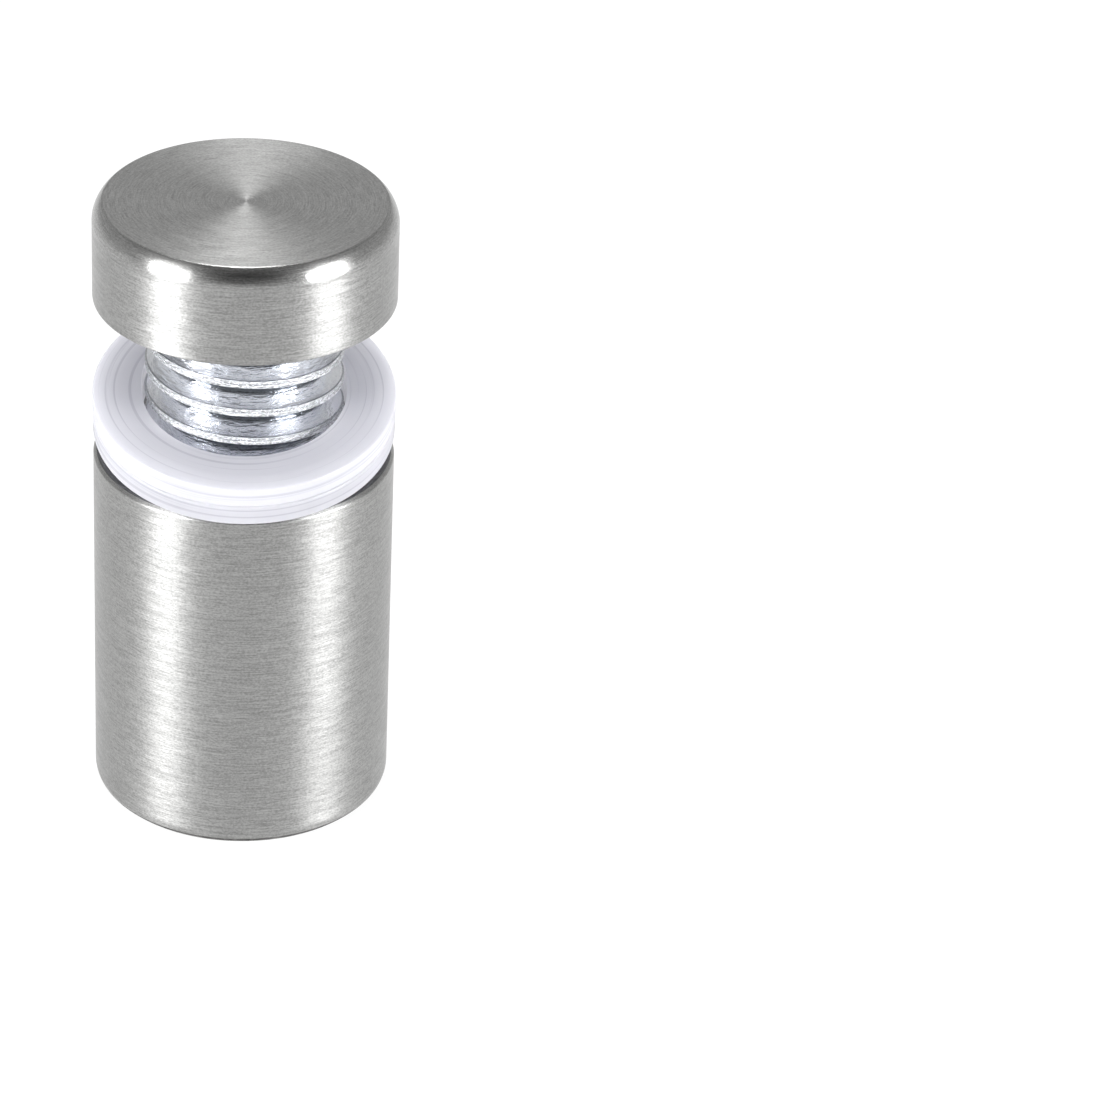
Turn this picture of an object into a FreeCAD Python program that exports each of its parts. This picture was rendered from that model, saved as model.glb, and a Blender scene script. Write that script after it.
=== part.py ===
import FreeCAD, Part
import math
import os

# Glass panel standoff. A screw through the floor of the barrel holds it to a wall, and
# a cap on a threaded stud closes on the panel, which two clear washers keep off the
# metal. It stands upright on its wall face, with the cap screwed part of the way out
# and the loose washers leaning between the barrel's rim and the thread.
# Millimetres, +Z up, with the origin in the middle of the wall face.

# Barrel
body_diameter = 12.0
barrel_length = 15.2
floor_thickness = 1.0
screw_hole_diameter = 4.6
foot_bevel_width = 0.27
foot_bevel_height = 0.25
foot_taper_width = 0.08
foot_taper_height = 0.25
rim_chamfer = 0.15
mouth_chamfer = 0.4

# Threaded stud, an 8 mm metric coarse thread
thread_diameter = 7.9
thread_pitch = 1.25
running_clearance = 0.05
stud_length = 9.4
tip_chamfer = 0.9
neck_length = 1.0
neck_undercut = 0.05
stud_turn = 180

# Cap
cap_lift = 6.87
cap_height = 4.05
cap_wall = 0.35
cap_top_thickness = 0.5
cap_edge_width = 0.4
cap_edge_height = 0.85
head_recess = 0.25
head_clearance = 0.02
head_chamfer = 0.2

# Clear washers
washer_diameter = 12.0
washer_thickness = 0.92
washer_play = 0.1
washer_bevel_width = 0.75
washer_bevel_drop = 0.08
washer_lean = 11.8
washer_overhang = 0.3
contact_clearance = 0.02

# Sizes that follow from those above
body_radius = body_diameter / 2
thread_radius = thread_diameter / 2
bore_radius = thread_radius + running_clearance
cap_bottom = barrel_length + cap_lift
cap_top = cap_bottom + cap_height
cap_inner_radius = body_radius - cap_wall
cap_ceiling = cap_top - cap_top_thickness
head_bottom = cap_bottom + head_recess
head_radius = cap_inner_radius - head_clearance
washer_hole_radius = thread_radius + washer_play

# Metric thread form: a sixty degree triangle whose crest is cut off by an eighth of
# the pitch, with a groove seventeen twenty-fourths of the triangle deep
half_angle = math.radians(30)
triangle_height = thread_pitch / (2 * math.tan(half_angle))
thread_depth = triangle_height * 17 / 24
crest_flat = thread_pitch / 8
root_radius = thread_radius - thread_depth


class Section:
    """Half section of a turned piece, drawn from point to point as radius and height."""

    def __init__(self, radius, height):
        self.start = FreeCAD.Vector(radius, 0, height)
        self.end = self.start
        self.edges = []

    def line_to(self, radius, height):
        target = FreeCAD.Vector(radius, 0, height)
        self.edges.append(Part.makeLine(self.end, target))
        self.end = target

    def arc_about(self, radius, height, angle):
        """Arc about a centre, by an angle in degrees that is positive from radius to height."""
        centre = FreeCAD.Vector(radius, 0, height)
        turn = FreeCAD.Rotation(FreeCAD.Vector(0, -1, 0), angle / 2)
        middle = centre + turn.multVec(self.end - centre)
        target = centre + turn.multVec(middle - centre)
        self.edges.append(Part.Arc(self.end, middle, target).toShape())
        self.end = target

    def turned(self):
        """Solid of the section turned once round the Z axis."""
        self.line_to(self.start.x, self.start.z)
        face = Part.Face(Part.Wire(self.edges))
        return face.revolve(FreeCAD.Vector(0, 0, 0), FreeCAD.Vector(0, 0, 1), 360)


def barrel():
    """Turned barrel: a bore for the stud over a floor with the wall screw's hole."""
    hole_radius = screw_hole_diameter / 2
    section = Section(hole_radius, 0)
    section.line_to(body_radius - foot_taper_width - foot_bevel_width, 0)
    section.line_to(body_radius - foot_taper_width, foot_bevel_height)
    section.line_to(body_radius, foot_bevel_height + foot_taper_height)
    section.line_to(body_radius, barrel_length - rim_chamfer)
    section.line_to(body_radius - rim_chamfer, barrel_length)
    section.line_to(bore_radius + mouth_chamfer, barrel_length)
    section.line_to(bore_radius, barrel_length - mouth_chamfer)
    section.line_to(bore_radius, floor_thickness)
    section.line_to(hole_radius, floor_thickness)
    return section.turned()


def cap_shell():
    """Drawn cup, open below, with a flat top inside a broad rounded edge."""
    edge_start = cap_top - cap_edge_height
    edge_angle = 2 * math.atan(cap_edge_width / cap_edge_height)
    edge_radius = cap_edge_height / math.sin(edge_angle)
    section = Section(0, cap_ceiling)
    section.line_to(cap_inner_radius, cap_ceiling)
    section.line_to(cap_inner_radius, cap_bottom)
    section.line_to(body_radius, cap_bottom)
    section.line_to(body_radius, edge_start)
    section.arc_about(body_radius - edge_radius, edge_start, math.degrees(edge_angle))
    section.line_to(0, cap_top)
    return section.turned()


def thread_groove(bottom, top):
    """Left-hand helical solid of the groove between the turns, from bottom to top. It
    starts half a turn away from the seam of the round faces that it cuts."""
    overshoot = crest_flat / 4
    root_half = (thread_pitch - crest_flat) / 2 - thread_depth * math.tan(half_angle)
    outer_half = root_half + (thread_depth + overshoot) * math.tan(half_angle)
    outer_radius = thread_radius + overshoot
    corners = [
        FreeCAD.Vector(root_radius, 0, bottom - root_half),
        FreeCAD.Vector(outer_radius, 0, bottom - outer_half),
        FreeCAD.Vector(outer_radius, 0, bottom + outer_half),
        FreeCAD.Vector(root_radius, 0, bottom + root_half),
    ]
    profile = Part.makePolygon(corners + corners[:1])
    helix = Part.makeHelix(thread_pitch, top - bottom, root_radius, 0, True)
    helix.translate(FreeCAD.Vector(0, 0, bottom))
    groove = Part.Wire(helix.Edges).makePipeShell([profile], True, True)
    groove.rotate(FreeCAD.Vector(0, 0, 0), FreeCAD.Vector(0, 0, 1), 180)
    return groove


def neck_relief():
    """Ring turned away under the head, which the thread runs out into."""
    neck_radius = root_radius - neck_undercut
    bottom = stud_length - neck_length
    section = Section(neck_radius, bottom)
    section.line_to(thread_radius + crest_flat, bottom)
    section.line_to(thread_radius + crest_flat, stud_length)
    section.line_to(neck_radius, stud_length)
    return section.turned()


def tip_bevel():
    """Ring that bevels the free end of the stud at forty-five degrees."""
    outer_radius = thread_radius + crest_flat
    start_radius = thread_radius - tip_chamfer - crest_flat
    section = Section(start_radius, -crest_flat)
    section.line_to(outer_radius, -crest_flat)
    section.line_to(outer_radius, outer_radius - start_radius - crest_flat)
    return section.turned()


def threaded_stud():
    """Stud with a rolled thread, cut from its free end up and then set at its height, and
    a disc head that fills the cap."""
    shank = Part.makeCylinder(thread_radius, stud_length)
    shank = shank.cut(thread_groove(-thread_pitch, stud_length - neck_length / 2))
    shank = shank.cut(neck_relief())
    shank = shank.cut(tip_bevel())
    shank.rotate(FreeCAD.Vector(0, 0, 0), FreeCAD.Vector(0, 0, 1), stud_turn)
    shank.translate(FreeCAD.Vector(0, 0, head_bottom - stud_length))
    head = Section(0, head_bottom)
    head.line_to(head_radius - head_chamfer, head_bottom)
    head.line_to(head_radius, head_bottom + head_chamfer)
    head.line_to(head_radius, cap_ceiling)
    head.line_to(0, cap_ceiling)
    return shank.fuse(head.turned())


def washer_hole():
    """Prism of the washers' round hole, drawn out to an oval at the back, where the top
    edge of the leaning stack hangs on the thread."""
    lean = math.radians(washer_lean)
    catch = thread_radius + contact_clearance + washer_overhang
    catch = (catch + 2 * washer_thickness * math.sin(lean)) / math.cos(lean)
    radius = washer_hole_radius
    stretch = catch - radius
    near_left = FreeCAD.Vector(-radius, 0, 0)
    near_right = FreeCAD.Vector(radius, 0, 0)
    far_right = FreeCAD.Vector(radius, stretch, 0)
    far_left = FreeCAD.Vector(-radius, stretch, 0)
    outline = Part.Wire([
        Part.Arc(near_left, FreeCAD.Vector(0, -radius, 0), near_right).toShape(),
        Part.makeLine(near_right, far_right),
        Part.Arc(far_right, FreeCAD.Vector(0, catch, 0), far_left).toShape(),
        Part.makeLine(far_left, near_left),
    ])
    return Part.Face(outline).extrude(FreeCAD.Vector(0, 0, washer_thickness))


def washer(level):
    """Clear washer of the leaning stack, with its underside at that level of the stack.
    The stack rests on the front of the barrel's rim and reaches a little beyond it."""
    radius = washer_diameter / 2
    section = Section(0, 0)
    section.line_to(radius, 0)
    section.line_to(radius, washer_thickness - washer_bevel_drop)
    section.line_to(radius - washer_bevel_width, washer_thickness)
    section.line_to(0, washer_thickness)
    solid = section.turned().cut(washer_hole())
    rest = body_radius - rim_chamfer - washer_overhang
    lift = contact_clearance + rest * math.tan(math.radians(washer_lean))
    solid.translate(FreeCAD.Vector(0, 0, level))
    solid.rotate(FreeCAD.Vector(0, 0, 0), FreeCAD.Vector(1, 0, 0), washer_lean)
    solid.translate(FreeCAD.Vector(0, -washer_overhang, barrel_length + lift))
    return solid


pieces = {
    "barrel": barrel(),
    "cap_shell": cap_shell(),
    "threaded_stud": threaded_stud(),
    "washer_lower": washer(0),
    "washer_upper": washer(washer_thickness),
}

os.makedirs("parts", exist_ok=True)
for name, solid in pieces.items():
    solid.exportStep("parts/" + name + ".step")
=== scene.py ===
"""Finished look of the glass panel standoff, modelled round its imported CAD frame.

It is laid out as a Blender add-on and run as a script. Lengths are in metres, in the
CAD frame: +Z up, the origin in the middle of the wall face.
"""
import math

import bmesh
import bpy
from bpy.props import FloatProperty, FloatVectorProperty, IntProperty, PointerProperty
from mathutils import Matrix, Vector


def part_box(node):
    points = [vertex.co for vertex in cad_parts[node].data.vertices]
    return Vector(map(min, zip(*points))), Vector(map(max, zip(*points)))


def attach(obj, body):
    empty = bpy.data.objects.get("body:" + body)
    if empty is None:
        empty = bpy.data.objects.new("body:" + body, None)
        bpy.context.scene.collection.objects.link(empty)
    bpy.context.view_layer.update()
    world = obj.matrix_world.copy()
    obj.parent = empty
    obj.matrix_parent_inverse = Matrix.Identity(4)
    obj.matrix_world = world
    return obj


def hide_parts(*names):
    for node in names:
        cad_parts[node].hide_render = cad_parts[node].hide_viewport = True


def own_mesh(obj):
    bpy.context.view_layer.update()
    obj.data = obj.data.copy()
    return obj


bl_info = {
    "name": "Glass panel standoff",
    "version": (1, 0, 0),
    "blender": (4, 5, 0),
    "location": "3D View > Sidebar > Standoff",
    "description": "Models and finishes the pieces of a glass panel standoff on its CAD frame",
    "category": "Add Mesh",
}

MM = 0.001
AXIS = Vector((0, 0, 1))
# Vertices this close are one
MERGE = 0.0005 * MM
# A smaller rounding takes few faces, and short edges this long border each flat
SMALL_ROUNDING = 0.1 * MM
GUARD = 0.03 * MM
# Slope of a metric thread's flanks, and its depth as a share of its pitch
FLANK_SLOPE = math.tan(math.radians(30))
THREAD_SHARE = 17 / 24 / (2 * FLANK_SLOPE)
# Width, length and depth of one mark of the brush
BRUSH_MARK = (0.035 * MM, 0.9 * MM, 0.0022 * MM)
# Painted shade on the thread, dark in the groove's bottom and at the crest's edges and seam:
# how much at each share of the way from its root to its crest
THREAD_PAINTED_SHADE_STOPS = ((0.0, 0.95), (0.07, 0.7), (0.17, 0.0), (0.86, 0.0), (0.93, 0.55), (0.98, 0.0))
# Softboxes: name, place, width, height and power
SOFTBOXES = (
    ("softbox_left", (-0.292, -0.193, 0.07), 0.14, 0.13, 3.0),
    ("softbox_right", (0.3075, -0.167, 0.07), 0.14, 0.13, 2.6),
    ("softbox_back", (-0.008, 0.207, 0.415), 0.1, 0.14, 0.58),
)
SOFTBOX_TARGET = (0, 0, 0.014)
# Camera that fits the outlines in the photograph: place, turns in degrees, and lens in mm
CAMERA_PLACE = (0, -0.180466, 0.116591)
CAMERA_TURNS = ((90 - 30.4512, "X"), (-3.3975, "Y"), (0.4978, "Z"))
CAMERA_LENS = 169.174
# Settings that several nodes share
COLOURS = {"data_type": "RGBA"}
SMOOTH = {"interpolation_type": "SMOOTHSTEP"}

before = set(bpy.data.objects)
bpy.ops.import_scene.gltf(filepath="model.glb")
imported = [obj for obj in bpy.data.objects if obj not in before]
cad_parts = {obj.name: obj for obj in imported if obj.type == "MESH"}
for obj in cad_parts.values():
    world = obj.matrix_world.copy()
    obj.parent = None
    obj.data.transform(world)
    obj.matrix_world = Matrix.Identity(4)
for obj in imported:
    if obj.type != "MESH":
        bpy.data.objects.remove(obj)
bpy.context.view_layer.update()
barrel_low, barrel_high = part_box("barrel")
cap_low, cap_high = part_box("cap_shell")
stud_low, stud_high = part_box("threaded_stud")


def linear(code):
    """Linear colour of an sRGB hex code such as 9a9b9d."""
    parts = [int(code[i:i + 2], 16) / 255 for i in (0, 2, 4)]
    return [c / 12.92 if c <= 0.04045 else ((c + 0.055) / 1.055) ** 2.4 for c in parts]


def length(name, description, default):
    """Length property, shown in the scene's unit."""
    return FloatProperty(name=name, description=description, default=default, min=0,
                         precision=5, subtype="DISTANCE", unit="LENGTH")


def colour(name, description, code):
    """Colour property that starts from an sRGB hex code."""
    return FloatVectorProperty(name=name, description=description, default=linear(code),
                               size=3, min=0, max=1, subtype="COLOR")


class StandoffSizes(bpy.types.PropertyGroup):
    """Sizes of the pieces. Those that the CAD frame shows are read from it."""

    body_radius: length("Body radius", "Outer radius of the barrel and the cap", barrel_high.x)
    barrel_top: length("Barrel top", "Height of the barrel's rim", barrel_high.z)
    bore_radius: length("Bore radius", "Radius of the bore that takes the stud", 4.0 * MM)
    hole_radius: length("Hole radius", "Radius of the wall screw's hole", 2.3 * MM)
    floor_thickness: length("Floor thickness", "Thickness of the barrel's floor", 1.0 * MM)
    foot_bevel_width: length("Foot bevel width", "Width of the wall face's bevel", 0.27 * MM)
    foot_bevel_height: length("Foot bevel height", "Height of the same bevel", 0.25 * MM)
    foot_taper_width: length("Foot taper width", "Width of the taper above it", 0.08 * MM)
    foot_taper_height: length("Foot taper height", "Height of the same taper", 0.25 * MM)
    rim_chamfer: length("Rim chamfer", "Chamfer of the barrel's rim", 0.15 * MM)
    mouth_chamfer: length("Mouth chamfer", "Chamfer of the bore's mouth", 0.4 * MM)
    cap_bottom: length("Cap bottom", "Height of the cap's open lip", cap_low.z)
    cap_top: length("Cap top", "Height of the cap's flat top", cap_high.z)
    cap_wall: length("Cap wall", "Thickness of the cap's side", 0.35 * MM)
    cap_edge_width: length("Cap edge width", "Width of the rounded edge", 0.4 * MM)
    cap_edge_height: length("Cap edge height", "Height of the rounded edge", 0.85 * MM)
    stud_tip: length("Stud tip", "Height of the stud's free end", stud_low.z)
    stud_top: length("Stud top", "Height of the top of the stud's head", stud_high.z)
    head_radius: length("Head radius", "Radius of the stud's disc head", stud_high.x)
    head_bottom: length("Head bottom", "Height of the underside of the head", 22.32 * MM)
    thread_radius: length("Thread radius", "Outer radius of the thread", 3.95 * MM)
    thread_pitch: length("Thread pitch", "Rise of the thread in one turn", 1.25 * MM)
    crest_width: length("Crest width", "Width of the rolled crest", 0.28 * MM)
    crest_seam: length("Crest seam", "Depth of the seam that rolling leaves in the crest",
                       0.045 * MM)
    neck_length: length("Neck length", "Plain length under the head", 1.0 * MM)
    neck_undercut: length("Neck undercut", "Depth of the neck below the thread", 0.05 * MM)
    head_chamfer: length("Head chamfer", "Chamfer of the head's underside", 0.2 * MM)
    tip_chamfer: length("Tip chamfer", "Chamfer of the stud's free end", 0.9 * MM)
    washer_radius: length("Washer radius", "Outer radius of the washers", 6.0 * MM)
    washer_hole: length("Washer hole", "Radius of the washers' hole", 4.05 * MM)
    washer_thickness: length("Washer thickness", "Thickness of one washer", 0.92 * MM)
    washer_step: length("Washer step", "Width of the washers' sloping border", 0.75 * MM)
    washer_drop: length("Washer drop", "Fall of that border to the edge", 0.08 * MM)
    washer_overhang: length("Washer overhang", "Reach of the washers beyond the rim", 0.3 * MM)
    washer_lean: FloatProperty(name="Washer lean", description="Lean of the washers",
                               default=math.radians(11.8), min=0, max=math.radians(30),
                               subtype="ANGLE", unit="ROTATION")
    contact_gap: length("Contact gap", "Play left where pieces touch", 0.02 * MM)
    turn_steps: IntProperty(name="Steps", description="Faces round a turned piece",
                            default=256, min=32, max=512)


class StandoffFinishes(bpy.types.PropertyGroup):
    """Colours and gloss of the materials."""

    steel: colour("Steel", "Brushed stainless steel", "aaaaa9")
    steel_shade: colour("Steel shade", "Bottom of the brush marks", "828281")
    steel_roughness: FloatProperty(name="Steel roughness", description="Of the brushed steel",
                                   default=0.34, min=0, max=1, subtype="FACTOR")
    # Lighter copies of the steel's two tones, painted light on the cap's flat top
    top_steel_painted_lighter: colour("Steel top", "Brushed top of the cap", "b7b7b6")
    top_steel_painted_lighter_dark: colour("Steel top shade", "Bottom of its brush marks", "8d8d8c")
    steel_turned: colour("Turned steel", "Brightest rings of the wall face", "e2e2e2")
    # Darker grey of the rim and bore: painted shade under the washers and inside the bore
    rim_steel_painted_shade: colour("Sawn steel", "Rim and bore of the barrel", "77777a")
    rim_steel_painted_shade_dark: colour("Sawn steel shade", "Bottom of the saw's marks", "5a5a5b")
    # Grain of the foot's bevel, darkened to near black by painted shade where the foot meets
    # the floor
    foot_steel_grain_and_shade: colour("Rough steel", "Bevel round the wall face", "6a6968")
    foot_steel_grain_and_shade_dark: colour("Rough steel shade", "Dark grain of that bevel", "2e2d2c")
    zinc: colour("Zinc", "Bright zinc plating on the thread", "e2e4e8")
    zinc_shade: colour("Zinc shade", "Worn crest of the thread", "8c8d8f")
    # Dark tone of the painted shade in the thread's groove and along its crest
    thread_painted_shade: colour("Oil", "Oil that rolling left on the thread", "42474e")
    pvc: colour("Clear PVC", "Milky tint of the washers", "d4d4da")
    pvc_milk: colour("PVC milk", "Light that the washers pass on", "f5f5f7")
    pvc_line: colour("PVC line", "Marks that the cutting die leaves", "acacb4")


def add_node(tree, kind, settings=None, **inputs):
    """Adds a node. Settings are its own options, and inputs are values or sockets to link."""
    node = tree.nodes.new(kind)
    for key, value in (settings or {}).items():
        setattr(node, key, value)
    for key, value in inputs.items():
        socket = node.inputs[int(key[1:])] if key[0] == "i" and key[1:].isdigit() \
            else node.inputs[key.replace("_", " ")]
        if isinstance(value, bpy.types.NodeSocket):
            tree.links.new(value, socket)
        else:
            socket.default_value = value
    return node


def new_material(name):
    """New material, and its node tree without nodes."""
    material = bpy.data.materials.new(name)
    material.use_nodes = True
    tree = material.node_tree
    tree.nodes.clear()
    return material, tree


def round_place(tree, lie=None):
    """Place on a turned piece: X, Y, radius, and height less radius, which runs on without
    a break from a side over its edge to a face. lie is the place and the turn of a piece
    whose axis isn't Z."""
    place = add_node(tree, "ShaderNodeTexCoord").outputs["Object"]
    if lie:
        place = add_node(tree, "ShaderNodeMapping", {"vector_type": "TEXTURE"},
                         Vector=place, Location=lie[0], Rotation=lie[1]).outputs[0]
    parts = add_node(tree, "ShaderNodeSeparateXYZ", Vector=place)
    flat = add_node(tree, "ShaderNodeCombineXYZ", X=parts.outputs["X"], Y=parts.outputs["Y"])
    radius = add_node(tree, "ShaderNodeVectorMath", {"operation": "LENGTH"}, i0=flat.outputs[0])
    run = add_node(tree, "ShaderNodeMath", {"operation": "SUBTRACT"},
                   i0=parts.outputs["Z"], i1=radius.outputs["Value"])
    return parts.outputs["X"], parts.outputs["Y"], radius.outputs["Value"], run.outputs[0]


def turning_marks(tree, across, along, lie=None):
    """Noise drawn out round the axis, as a tool or a brush leaves it on a turning piece.
    across is the width of a mark and along its length, both in metres."""
    x, y, _, run = round_place(tree, lie)
    point = add_node(tree, "ShaderNodeCombineXYZ", X=x, Y=y, Z=run)
    scaled = add_node(tree, "ShaderNodeVectorMath", {"operation": "MULTIPLY"},
                      i0=point.outputs[0], i1=(1 / along, 1 / along, 1 / across))
    return add_node(tree, "ShaderNodeTexNoise", Vector=scaled.outputs[0], Scale=1.0,
                    Detail=3.0, Roughness=0.6).outputs["Fac"]


def finish_metal(tree, base, roughness, normal, lay):
    """Shader of metal whose marks run round the Z axis. They spread the light across
    themselves, as much as lay says, so each lamp becomes a soft band along the axis."""
    round_axis = add_node(tree, "ShaderNodeTangent", {"direction_type": "RADIAL", "axis": "Z"})
    shader = add_node(tree, "ShaderNodeBsdfPrincipled", Metallic=1.0, Anisotropic=lay,
                      Anisotropic_Rotation=0.25, Base_Color=base, Roughness=roughness,
                      Normal=normal, Tangent=round_axis.outputs[0])
    add_node(tree, "ShaderNodeOutputMaterial", Surface=shader.outputs[0])


def steel_material(name, tones, roughness, mark, lay=0.72, polished=None):
    """Stainless steel worked while it turns, in two tones. mark is the width, length and
    depth of one mark, and polished is where a smoother edge starts and ends, as height
    less radius."""
    across, along, depth = mark
    spread = 0.035
    material, tree = new_material(name)
    marks = turning_marks(tree, across, along)
    cloud = turning_marks(tree, 6 * across, 2 * along)
    grain = turning_marks(tree, 2 * across, 3 * across)
    mixed = add_node(tree, "ShaderNodeMath", {"operation": "ADD"}, i0=marks, i1=grain)
    tone = add_node(tree, "ShaderNodeMapRange", Value=mixed.outputs[0], From_Min=0.76,
                    From_Max=1.24)
    base = add_node(tree, "ShaderNodeMix", COLOURS, Factor=tone.outputs[0],
                    i6=[*tones[0], 1], i7=[*tones[1], 1])
    gloss = add_node(tree, "ShaderNodeMapRange", Value=cloud, From_Min=0.3, From_Max=0.7,
                     To_Min=roughness - spread, To_Max=roughness + spread)
    if polished:
        # The polish fades in from the side and ends at the border of the flat top
        low, high = polished
        run = round_place(tree)[3]
        rise = add_node(tree, "ShaderNodeMapRange", SMOOTH, Value=run,
                        From_Min=low - 0.3 * MM, From_Max=low + 0.3 * MM)
        fall = add_node(tree, "ShaderNodeMapRange", SMOOTH, Value=run,
                        From_Min=high - 0.05 * MM, From_Max=high + 0.05 * MM,
                        To_Min=0.75, To_Max=1.0)
        edge = add_node(tree, "ShaderNodeMix", Factor=rise.outputs[0], A=1.0,
                        B=fall.outputs[0])
        gloss = add_node(tree, "ShaderNodeMath", {"operation": "MULTIPLY"},
                         i0=gloss.outputs[0], i1=edge.outputs[0])
    relief = add_node(tree, "ShaderNodeBump", Height=mixed.outputs[0], Strength=1.0,
                      Distance=depth)
    finish_metal(tree, base.outputs[2], gloss.outputs[0], relief.outputs[0], lay)
    return material


def zinc_material(finishes, sizes):
    """Bright zinc plating on a rolled thread: glossy flanks, a narrow, speckled crest, and
    painted shade in the bottom of the groove and at the crest's edges."""
    material, tree = new_material("bright_zinc_on_rolled_thread")
    radius = round_place(tree)[2]
    crest = add_node(tree, "ShaderNodeMapRange", Value=radius,
                     From_Min=sizes.thread_radius - 0.06 * MM, From_Max=sizes.thread_radius)
    marks = turning_marks(tree, 0.05 * MM, 1.2 * MM)
    pits = turning_marks(tree, 0.05 * MM, 0.12 * MM)
    speckle = add_node(tree, "ShaderNodeMapRange", Value=pits, From_Min=0.4, From_Max=0.6)
    worn = add_node(tree, "ShaderNodeMath", {"operation": "MULTIPLY"},
                    i0=crest.outputs[0], i1=speckle.outputs[0])
    plated = add_node(tree, "ShaderNodeMix", COLOURS, Factor=worn.outputs[0],
                      i6=[*finishes.zinc, 1], i7=[*finishes.zinc_shade, 1])
    # Painted shade darkens the bottom of the groove, the edges of the crest and the seam in it
    root = sizes.thread_radius - THREAD_SHARE * sizes.thread_pitch
    share = add_node(tree, "ShaderNodeMapRange", Value=radius, From_Min=root,
                     From_Max=sizes.thread_radius)
    thread_painted_shade = add_node(tree, "ShaderNodeValToRGB", Fac=share.outputs[0])
    stops = thread_painted_shade.color_ramp.elements
    stops[0].position, stops[1].position = THREAD_PAINTED_SHADE_STOPS[0][0], THREAD_PAINTED_SHADE_STOPS[-1][0]
    for position, _ in THREAD_PAINTED_SHADE_STOPS[1:-1]:
        stops.new(position)
    for stop, (_, amount) in zip(stops, THREAD_PAINTED_SHADE_STOPS):
        stop.color = (amount, amount, amount, 1)
    base = add_node(tree, "ShaderNodeMix", COLOURS, Factor=thread_painted_shade.outputs["Color"],
                    i6=plated.outputs[2], i7=[*finishes.thread_painted_shade, 1])
    gloss = add_node(tree, "ShaderNodeMapRange", Value=crest.outputs[0],
                     To_Min=0.2, To_Max=0.4)
    # The plating follows the rolled steel below it in long shallow waves
    waves = turning_marks(tree, 0.3 * MM, 0.7 * MM)
    swell = add_node(tree, "ShaderNodeBump", Height=waves, Strength=0.9,
                     Distance=0.09 * MM)
    grain = add_node(tree, "ShaderNodeBump", Height=marks, Strength=0.6,
                     Distance=0.004 * MM, Normal=swell.outputs[0])
    relief = add_node(tree, "ShaderNodeBump", Height=worn.outputs[0], Strength=0.9,
                      Distance=0.03 * MM, Normal=grain.outputs[0])
    finish_metal(tree, base.outputs[2], gloss.outputs[0], relief.outputs[0], 0.6)
    return material


def pvc_material(finishes, lie):
    """Clear soft PVC, die cut: it lets light through but scatters it, so it looks milky."""
    material, tree = new_material("clear_pvc_die_cut")
    marks = turning_marks(tree, 0.2 * MM, 25 * MM, lie)
    relief = add_node(tree, "ShaderNodeBump", Height=marks, Strength=0.3, Distance=0.006 * MM)
    gloss = add_node(tree, "ShaderNodeMapRange", Value=marks, To_Min=0.27, To_Max=0.37)
    # Each mark of the die is a thin darker line
    line = add_node(tree, "ShaderNodeMapRange", Value=marks, From_Min=0.38, From_Max=0.46,
                    To_Min=0.6)
    tone = add_node(tree, "ShaderNodeMix", COLOURS, Factor=line.outputs[0],
                    i6=[*finishes.pvc_line, 1], i7=[*finishes.pvc, 1])
    glow = add_node(tree, "ShaderNodeMix", COLOURS, Factor=line.outputs[0],
                    i6=[*finishes.pvc_line, 1], i7=[*finishes.pvc_milk, 1])
    shader = add_node(tree, "ShaderNodeBsdfPrincipled", Base_Color=tone.outputs[2],
                      Roughness=gloss.outputs[0], Normal=relief.outputs[0], IOR=1.53,
                      Transmission_Weight=0.4, Subsurface_Weight=0.6,
                      Subsurface_Scale=0.5 * MM, Subsurface_Radius=(1, 1, 1))
    # The milky body passes light on in every direction
    milk = add_node(tree, "ShaderNodeBsdfTranslucent", Color=glow.outputs[2],
                    Normal=relief.outputs[0])
    mixed = add_node(tree, "ShaderNodeMixShader", Fac=0.46, i1=shader.outputs[0],
                     i2=milk.outputs[0])
    add_node(tree, "ShaderNodeOutputMaterial", Surface=mixed.outputs[0])
    return material


def half_section(mesh, corners, closed):
    """Wire of a half section in the XZ plane, from corners of radius, height and rounding."""
    points = [mesh.verts.new((radius, 0, height)) for radius, height, _ in corners]
    for start, end in zip(points, points[1:] + (points[:1] if closed else [])):
        mesh.edges.new((start, end))
    for point, (_, _, rounding) in zip(points, corners):
        if rounding:
            segments = 4 if rounding < SMALL_ROUNDING else 18
            bmesh.ops.bevel(mesh, geom=[point], offset=rounding, offset_type="OFFSET",
                            segments=segments, profile=0.5, affect="VERTICES",
                            clamp_overlap=False, material=-1)
    # A short edge at each end of a long one keeps a rounding's shading off the flat
    for edge in list(mesh.edges):
        if edge.calc_length() > 6 * GUARD:
            _, near = bmesh.utils.edge_split(edge, edge.verts[0], GUARD / edge.calc_length())
            far = edge.other_vert(near)
            bmesh.utils.edge_split(edge, far, GUARD / edge.calc_length())


def spin_round(mesh, steps):
    """Turns everything in the mesh once round the Z axis, closed where it meets."""
    bmesh.ops.spin(mesh, geom=mesh.verts[:] + mesh.edges[:], cent=(0, 0, 0), axis=AXIS,
                   angle=2 * math.pi, steps=steps, use_merge=True, use_duplicate=False)


def finish_mesh(mesh):
    """Merges doubles, turns the faces outwards and makes them smooth."""
    bmesh.ops.remove_doubles(mesh, verts=mesh.verts, dist=MERGE)
    bmesh.ops.dissolve_degenerate(mesh, edges=mesh.edges, dist=MERGE)
    bmesh.ops.recalc_face_normals(mesh, faces=mesh.faces)
    for face in mesh.faces:
        face.smooth = True


def place_piece(mesh, name, node, body, materials, choose=None):
    """Makes the mesh an object that stands for a CAD node and rides on its body."""
    data = bpy.data.meshes.new(name)
    for material in materials:
        data.materials.append(material)
    if choose:
        for face in mesh.faces:
            face.material_index = choose(face)
    mesh.to_mesh(data)
    mesh.free()
    piece = bpy.data.objects.new(name, data)
    bpy.context.scene.collection.objects.link(piece)
    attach(piece, body)
    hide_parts(node)
    return piece


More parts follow.
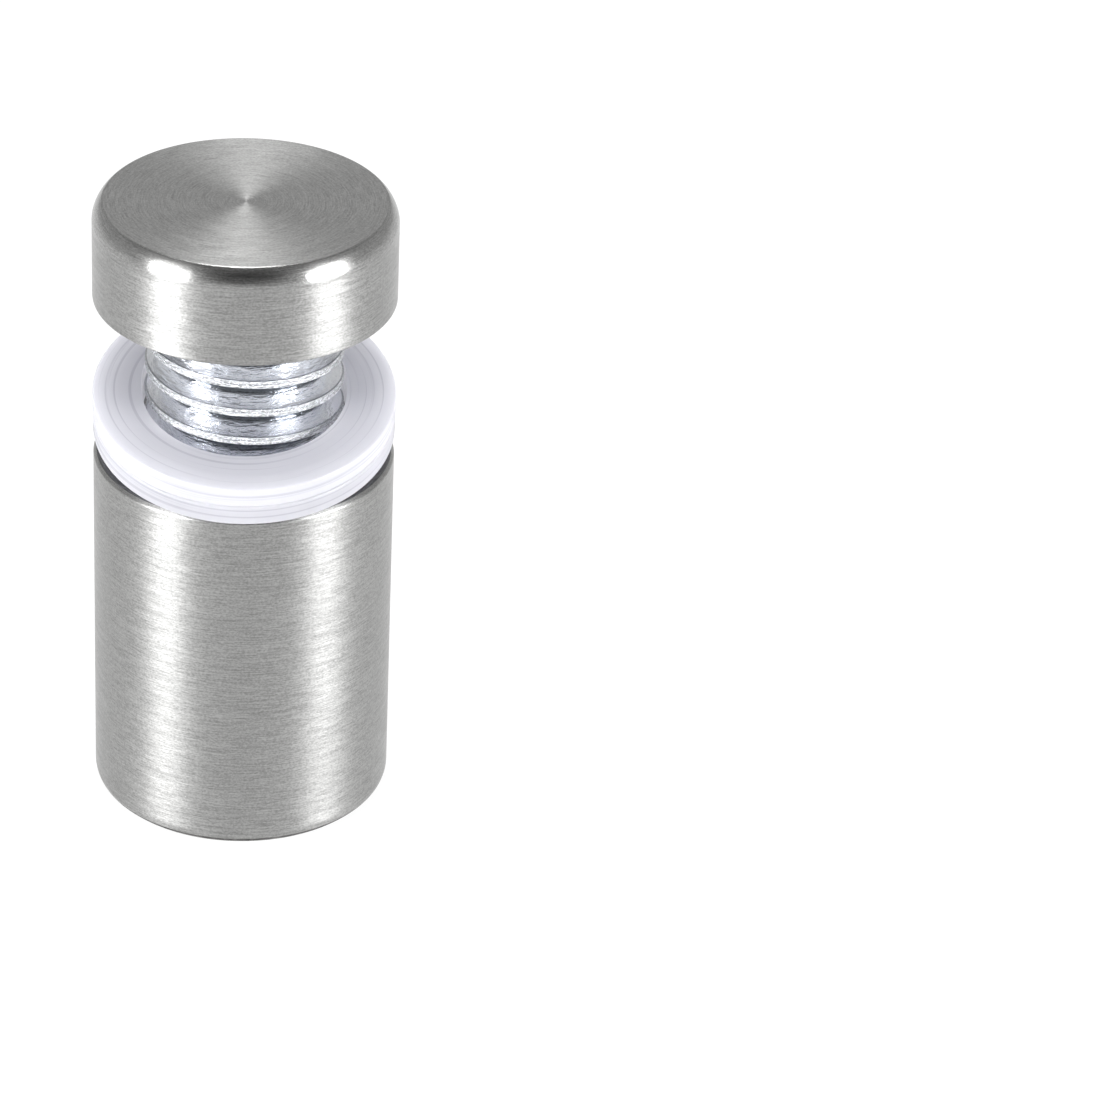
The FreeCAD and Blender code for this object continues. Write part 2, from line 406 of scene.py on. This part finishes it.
class STANDOFF_OT_barrel(bpy.types.Operator):
    """Turn the barrel, with its bore, floor and wall screw's hole"""

    bl_idname = "standoff.barrel"
    bl_label = "Barrel"

    def execute(self, context):
        s = context.scene.standoff_sizes
        f = context.scene.standoff_finishes
        # Brushed side: fine dull marks round the axis
        brushed = steel_material("stainless_brushed_round", (f.steel_shade, f.steel),
                                 f.steel_roughness, BRUSH_MARK)
        # Wall face, turned on a lathe: bright rings
        turned = steel_material("stainless_turned_face", (f.steel, f.steel_turned), 0.24,
                                (0.16 * MM, 9 * MM, 0.012 * MM))
        # Bevel round it, left as it was cut: grainy, and near black, which is painted shade
        # where the foot meets the floor
        grainy_shaded_foot = steel_material("stainless_rough_edge_painted_shade", (f.foot_steel_grain_and_shade_dark, f.foot_steel_grain_and_shade),
                               0.5, (0.12 * MM, 0.5 * MM, 0.02 * MM), 0.2)
        # Rim and bore, left as they were sawn and drilled: dull, and an even grey darker than
        # the side, which is painted shade under the washers and inside the bore
        rim = steel_material("stainless_rim_painted_shade", (f.rim_steel_painted_shade_dark, f.rim_steel_painted_shade), 0.45,
                             (0.09 * MM, 1.2 * MM, 0.008 * MM), 0.3)
        top = s.barrel_top
        foot = s.body_radius - s.foot_taper_width
        mouth = s.bore_radius + s.mouth_chamfer
        mesh = bmesh.new()
        half_section(mesh, [
            (s.hole_radius, 0, 0.05 * MM),
            (foot - s.foot_bevel_width, 0, 0.07 * MM),
            (foot, s.foot_bevel_height, 0.1 * MM),
            (s.body_radius, s.foot_bevel_height + s.foot_taper_height, 0.1 * MM),
            (s.body_radius, top - s.rim_chamfer, 0.04 * MM),
            (s.body_radius - s.rim_chamfer, top, 0.04 * MM),
            (mouth, top, 0.03 * MM),
            (s.bore_radius, top - s.mouth_chamfer, 0.03 * MM),
            (s.bore_radius, s.floor_thickness, 0),
            (s.hole_radius, s.floor_thickness, 0.03 * MM),
        ], closed=True)
        spin_round(mesh, s.turn_steps)
        finish_mesh(mesh)

        materials = [brushed, turned, grainy_shaded_foot, rim]

        def region(face):
            """Index of the face's material, told by where the face lies."""
            centre = face.calc_center_median()
            # Bore, mouth and rim take the darker steel, whose grey is painted shade
            if centre.xy.length < mouth + 0.02 * MM and centre.z > 0.02 * MM:
                return materials.index(rim)
            if centre.z < 0.004 * MM:
                return materials.index(turned)
            # The foot's bevel takes the near-black steel, painted shade at the floor
            if centre.z < 0.3 * MM:
                return materials.index(grainy_shaded_foot)
            return materials.index(rim if centre.z > top - 0.03 * MM else brushed)

        place_piece(mesh, "barrel_turned", "barrel", "barrel",
                    materials, region)
        return {"FINISHED"}


class STANDOFF_OT_cap(bpy.types.Operator):
    """Spin the cap's shell, open below and rounded round its flat top"""

    bl_idname = "standoff.cap"
    bl_label = "Cap shell"

    def execute(self, context):
        s = context.scene.standoff_sizes
        f = context.scene.standoff_finishes
        inner = s.body_radius - s.cap_wall
        flat = s.body_radius - s.cap_edge_width
        edge_start = s.cap_top - s.cap_edge_height
        # Brushed side with a rounded edge that the spinning left smoother
        brushed = steel_material("stainless_spun_cap", (f.steel_shade, f.steel),
                                 f.steel_roughness - 0.01, BRUSH_MARK,
                                 polished=(edge_start - s.body_radius, s.cap_top - flat))
        # Brushed top: the same marks run in rings and catch a lamp as two wedges; its tones are
        # a lighter copy of the side's steel, painted light that brightens the flat top
        top_painted_lighter = steel_material("stainless_top_painted_lighter", (f.top_steel_painted_lighter_dark, f.top_steel_painted_lighter),
                               f.steel_roughness, BRUSH_MARK)
        # The edge is an arc that meets the side in line with it
        half_turn = math.atan(s.cap_edge_width / s.cap_edge_height)
        edge_radius = s.cap_edge_height / math.sin(2 * half_turn)
        reach = edge_radius * math.tan(half_turn)
        mesh = bmesh.new()
        half_section(mesh, [
            (0, s.stud_top, 0),
            (inner, s.stud_top, 0),
            (inner, s.cap_bottom, 0.03 * MM),
            (s.body_radius, s.cap_bottom, 0.05 * MM),
            (s.body_radius, edge_start + reach, reach - 0.06 * MM),
            (flat, s.cap_top, 0.055 * MM),
            (0, s.cap_top, 0),
        ], closed=False)
        spin_round(mesh, s.turn_steps)
        finish_mesh(mesh)

        def on_top(face):
            """Whether the face is part of the cap's flat top."""
            centre = face.calc_center_median()
            return centre.z > s.cap_top - 0.001 * MM and centre.xy.length < flat

        place_piece(mesh, "cap_spun", "cap_shell", "cap",
                    [brushed, top_painted_lighter], on_top)
        return {"FINISHED"}


class STANDOFF_OT_stud(bpy.types.Operator):
    """Wind the stud's thread and turn its neck and disc head"""

    bl_idname = "standoff.stud"
    bl_label = "Threaded stud"

    def execute(self, context):
        s = context.scene.standoff_sizes
        f = context.scene.standoff_finishes
        pitch = s.thread_pitch
        steps = s.turn_steps // 2
        depth = THREAD_SHARE * pitch
        crest = pitch / 8
        root = s.thread_radius - depth
        root_half = (pitch - crest) / 2 - depth * FLANK_SLOPE
        neck_radius = root - s.neck_undercut
        neck_bottom = s.head_bottom - s.neck_length
        # The groove's middle crosses the XZ plane at whole pitches below the tip
        start = s.stud_tip - 2 * pitch
        middle = start + pitch / 2
        turns = math.ceil((neck_bottom - start) / pitch) + 1

        mesh = bmesh.new()
        half_section(mesh, [
            (root, start, 0),
            (root, start + root_half, 0.05 * MM),
            (s.thread_radius, middle - s.crest_width / 2, 0.03 * MM),
            (s.thread_radius, middle - s.crest_seam, 0.015 * MM),
            (s.thread_radius - s.crest_seam, middle, 0.012 * MM),
            (s.thread_radius, middle + s.crest_seam, 0.015 * MM),
            (s.thread_radius, middle + s.crest_width / 2, 0.03 * MM),
            (root, start + pitch - root_half, 0.05 * MM),
            (root, start + pitch, 0),
        ], closed=False)
        # A turn against the clock that falls makes the left-hand thread
        bmesh.ops.spin(mesh, geom=mesh.verts[:] + mesh.edges[:], cent=(0, 0, 0), axis=AXIS,
                       dvec=(0, 0, pitch / steps), angle=-2 * math.pi, steps=steps,
                       use_merge=False, use_duplicate=False)
        one_turn = mesh.verts[:] + mesh.edges[:] + mesh.faces[:]
        for turn in range(1, turns):
            copy = bmesh.ops.duplicate(mesh, geom=one_turn)["geom"]
            bmesh.ops.translate(mesh, vec=(0, 0, turn * pitch),
                                verts=[v for v in copy if isinstance(v, bmesh.types.BMVert)])
        bmesh.ops.remove_doubles(mesh, verts=mesh.verts, dist=4 * MERGE)
        for height, cut_above in ((s.stud_tip, False), (neck_bottom, True)):
            bmesh.ops.bisect_plane(mesh, geom=mesh.verts[:] + mesh.edges[:] + mesh.faces[:],
                                   plane_co=(0, 0, height), plane_no=AXIS, dist=MERGE,
                                   clear_outer=cut_above, clear_inner=not cut_above)
        tip_edge = [e for e in mesh.edges if e.is_boundary
                    and all(v.co.z < s.stud_tip + MERGE for v in e.verts)]
        bmesh.ops.contextual_create(mesh, geom=tip_edge)
        # The bevel of the free end takes the crests down at forty-five degrees
        for vert in mesh.verts:
            limit = s.thread_radius - s.tip_chamfer + vert.co.z - s.stud_tip
            if vert.co.xy.length > limit:
                vert.co.xy *= limit / vert.co.xy.length

        head = bmesh.new()
        half_section(head, [
            (neck_radius, neck_bottom, 0),
            (neck_radius, s.head_bottom, 0),
            (s.head_radius - s.head_chamfer, s.head_bottom, 0.04 * MM),
            (s.head_radius, s.head_bottom + s.head_chamfer, 0.04 * MM),
            (s.head_radius, s.stud_top, 0),
            (0, s.stud_top, 0),
        ], closed=False)
        spin_round(head, s.turn_steps)
        bmesh.ops.remove_doubles(head, verts=head.verts, dist=MERGE)
        joined = bpy.data.meshes.new("stud_head")
        head.to_mesh(joined)
        head.free()
        mesh.from_mesh(joined)
        bpy.data.meshes.remove(joined)
        shoulder = [e for e in mesh.edges if e.is_boundary
                    and all(abs(v.co.z - neck_bottom) < 2 * MERGE for v in e.verts)]
        bmesh.ops.bridge_loops(mesh, edges=shoulder)
        finish_mesh(mesh)
        place_piece(mesh, "stud_rolled", "threaded_stud", "cap",
                    [zinc_material(f, s)])
        return {"FINISHED"}


class STANDOFF_OT_washers(bpy.types.Operator):
    """Cut the two clear washers and lean them between the rim and the thread"""

    bl_idname = "standoff.washers"
    bl_label = "Washers"

    def execute(self, context):
        s = context.scene.standoff_sizes
        f = context.scene.standoff_finishes
        lean = s.washer_lean
        # The back of the hole is drawn out to where the leaning stack hangs on the thread
        catch = (s.thread_radius + s.contact_gap + s.washer_overhang
                 + 2 * s.washer_thickness * math.sin(lean)) / math.cos(lean)
        stretch = catch - s.washer_hole
        blend = 0.6 * MM
        round_hole = s.washer_hole + 0.2 * MM
        # A film of air keeps the two washers apart
        level_height = s.washer_thickness + 0.004 * MM
        rest = s.body_radius - s.rim_chamfer - s.washer_overhang
        lift = s.contact_gap + rest * math.tan(lean)
        bottom = (0, -s.washer_overhang, s.barrel_top + lift)
        material = pvc_material(f, (bottom, (lean, 0, 0)))
        for level, node in enumerate(("washer_lower", "washer_upper")):
            mesh = bmesh.new()
            half_section(mesh, [
                (s.washer_hole, 0, 0.03 * MM),
                (s.washer_radius, 0, 0.05 * MM),
                (s.washer_radius, s.washer_thickness - s.washer_drop, 0.05 * MM),
                (s.washer_radius - s.washer_step, s.washer_thickness, 0.03 * MM),
                (s.washer_hole, s.washer_thickness, 0.04 * MM),
            ], closed=True)
            spin_round(mesh, s.turn_steps)
            finish_mesh(mesh)
            for vert in mesh.verts:
                if vert.co.xy.length < round_hole:
                    share = (vert.co.y + blend) / (2 * blend)
                    vert.co.y += stretch * min(max(share, 0), 1)
            lay = Matrix.Translation(bottom) @ Matrix.Rotation(lean, 4, "X") \
                @ Matrix.Translation((0, 0, level * level_height))
            bmesh.ops.transform(mesh, matrix=lay, verts=mesh.verts)
            piece = place_piece(mesh, node + "_cut", node, "barrel", [material])
            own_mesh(piece)
        return {"FINISHED"}


def area_light(name, place, width, height, power):
    """Softbox: a flat lamp of that width and height that faces the standoff."""
    lamp = bpy.data.lights.new(name, "AREA")
    lamp.shape = "RECTANGLE"
    lamp.size, lamp.size_y = width, height
    lamp.energy = power
    holder = bpy.data.objects.new(name, lamp)
    bpy.context.scene.collection.objects.link(holder)
    holder.location = place
    aim = Vector(SOFTBOX_TARGET) - Vector(place)
    holder.rotation_euler = aim.to_track_quat("-Z", "Y").to_euler()


def background_rays(tree):
    """Share of the rays that look straight at the background: from the camera, or by way
    of polished metal or clear plastic."""
    path = add_node(tree, "ShaderNodeLightPath")
    seen = add_node(tree, "ShaderNodeMath", {"operation": "MAXIMUM"},
                    i0=path.outputs["Is Camera Ray"], i1=path.outputs["Is Glossy Ray"])
    return add_node(tree, "ShaderNodeMath", {"operation": "MAXIMUM"},
                    i0=seen.outputs[0], i1=path.outputs["Is Transmission Ray"]).outputs[0]


class STANDOFF_OT_studio(bpy.types.Operator):
    """Set up the pale floor, the softboxes and the camera"""

    bl_idname = "standoff.studio"
    bl_label = "Studio"

    def execute(self, context):
        scene = context.scene
        scene.view_settings.view_transform = "Standard"

        mesh = bmesh.new()
        bmesh.ops.create_circle(mesh, cap_ends=True, segments=96, radius=2.0)
        data = bpy.data.meshes.new("studio_floor")
        mesh.to_mesh(data)
        mesh.free()
        floor = bpy.data.objects.new("studio_floor", data)
        scene.collection.objects.link(floor)
        material, tree = new_material("white_paper_floor")
        paper = add_node(tree, "ShaderNodeBsdfDiffuse", Color=[0.86, 0.86, 0.86, 1])
        white = add_node(tree, "ShaderNodeEmission", Color=[1, 1, 1, 1], Strength=1.07)
        share = add_node(tree, "ShaderNodeMath", {"operation": "MULTIPLY"},
                         i0=background_rays(tree), i1=0.85)
        mixed = add_node(tree, "ShaderNodeMixShader", Fac=share.outputs[0],
                         i1=paper.outputs[0], i2=white.outputs[0])
        add_node(tree, "ShaderNodeOutputMaterial", Surface=mixed.outputs[0])
        data.materials.append(material)

        world = bpy.data.worlds.new("studio_room")
        scene.world = world
        world.use_nodes = True
        tree = world.node_tree
        tree.nodes.clear()
        path = add_node(tree, "ShaderNodeLightPath")
        # The room is pale round the table and dark overhead
        place = add_node(tree, "ShaderNodeTexCoord")
        parts = add_node(tree, "ShaderNodeSeparateXYZ", Vector=place.outputs["Generated"])
        level = add_node(tree, "ShaderNodeMapRange", SMOOTH, Value=parts.outputs["Z"],
                         From_Min=0.35, From_Max=0.95, To_Min=0.63, To_Max=0.26)
        # It is dark too where the camera stands between the softboxes
        front = add_node(tree, "ShaderNodeVectorMath", {"operation": "DOT_PRODUCT"},
                         i0=place.outputs["Generated"], i1=(0, -0.86, 0.51))
        shade = add_node(tree, "ShaderNodeMapRange", SMOOTH, Value=front.outputs["Value"],
                         From_Min=0.8, From_Max=0.97, To_Min=1.0, To_Max=0.2)
        grey = add_node(tree, "ShaderNodeMath", {"operation": "MULTIPLY"},
                        i0=level.outputs[0], i1=shade.outputs[0])
        room = add_node(tree, "ShaderNodeBackground", Color=grey.outputs[0], Strength=1.0)
        backdrop = add_node(tree, "ShaderNodeBackground", Color=[1, 1, 1, 1], Strength=1.0)
        mixed = add_node(tree, "ShaderNodeMixShader", Fac=path.outputs["Is Camera Ray"],
                         i1=room.outputs[0], i2=backdrop.outputs[0])
        add_node(tree, "ShaderNodeOutputWorld", Surface=mixed.outputs[0])

        for softbox in SOFTBOXES:
            area_light(*softbox)

        camera_data = bpy.data.cameras.new("photo_camera")
        camera_data.sensor_width = 36
        camera_data.lens = CAMERA_LENS
        camera_data.clip_start = 0.01
        camera_data.clip_end = 20
        camera = bpy.data.objects.new("photo_camera", camera_data)
        scene.collection.objects.link(camera)
        turn = Matrix.Identity(4)
        for degrees, axis in CAMERA_TURNS:
            turn = turn @ Matrix.Rotation(math.radians(degrees), 4, axis)
        camera.matrix_world = Matrix.Translation(CAMERA_PLACE) @ turn
        scene.camera = camera
        return {"FINISHED"}


class STANDOFF_PT_panel(bpy.types.Panel):
    """Lists the pieces, their sizes and their finishes"""

    bl_label = "Standoff"
    bl_idname = "STANDOFF_PT_panel"
    bl_space_type = "VIEW_3D"
    bl_region_type = "UI"
    bl_category = "Standoff"

    def draw(self, context):
        for operator in OPERATORS:
            self.layout.operator(operator.bl_idname)
        for group in (context.scene.standoff_sizes, context.scene.standoff_finishes):
            box = self.layout.box()
            for name in group.__annotations__:
                box.prop(group, name)


GROUPS = (StandoffSizes, StandoffFinishes)
OPERATORS = (STANDOFF_OT_studio, STANDOFF_OT_barrel, STANDOFF_OT_cap, STANDOFF_OT_stud,
             STANDOFF_OT_washers)
CLASSES = GROUPS + OPERATORS + (STANDOFF_PT_panel,)


def register():
    for item in CLASSES:
        bpy.utils.register_class(item)
    bpy.types.Scene.standoff_sizes = PointerProperty(type=StandoffSizes)
    bpy.types.Scene.standoff_finishes = PointerProperty(type=StandoffFinishes)


def unregister():
    del bpy.types.Scene.standoff_finishes
    del bpy.types.Scene.standoff_sizes
    for item in reversed(CLASSES):
        bpy.utils.unregister_class(item)


def main():
    """Builds everything."""
    register()
    bpy.ops.standoff.studio()
    bpy.ops.standoff.barrel()
    bpy.ops.standoff.cap()
    bpy.ops.standoff.stud()
    bpy.ops.standoff.washers()


if __name__ == "__main__":
    main()
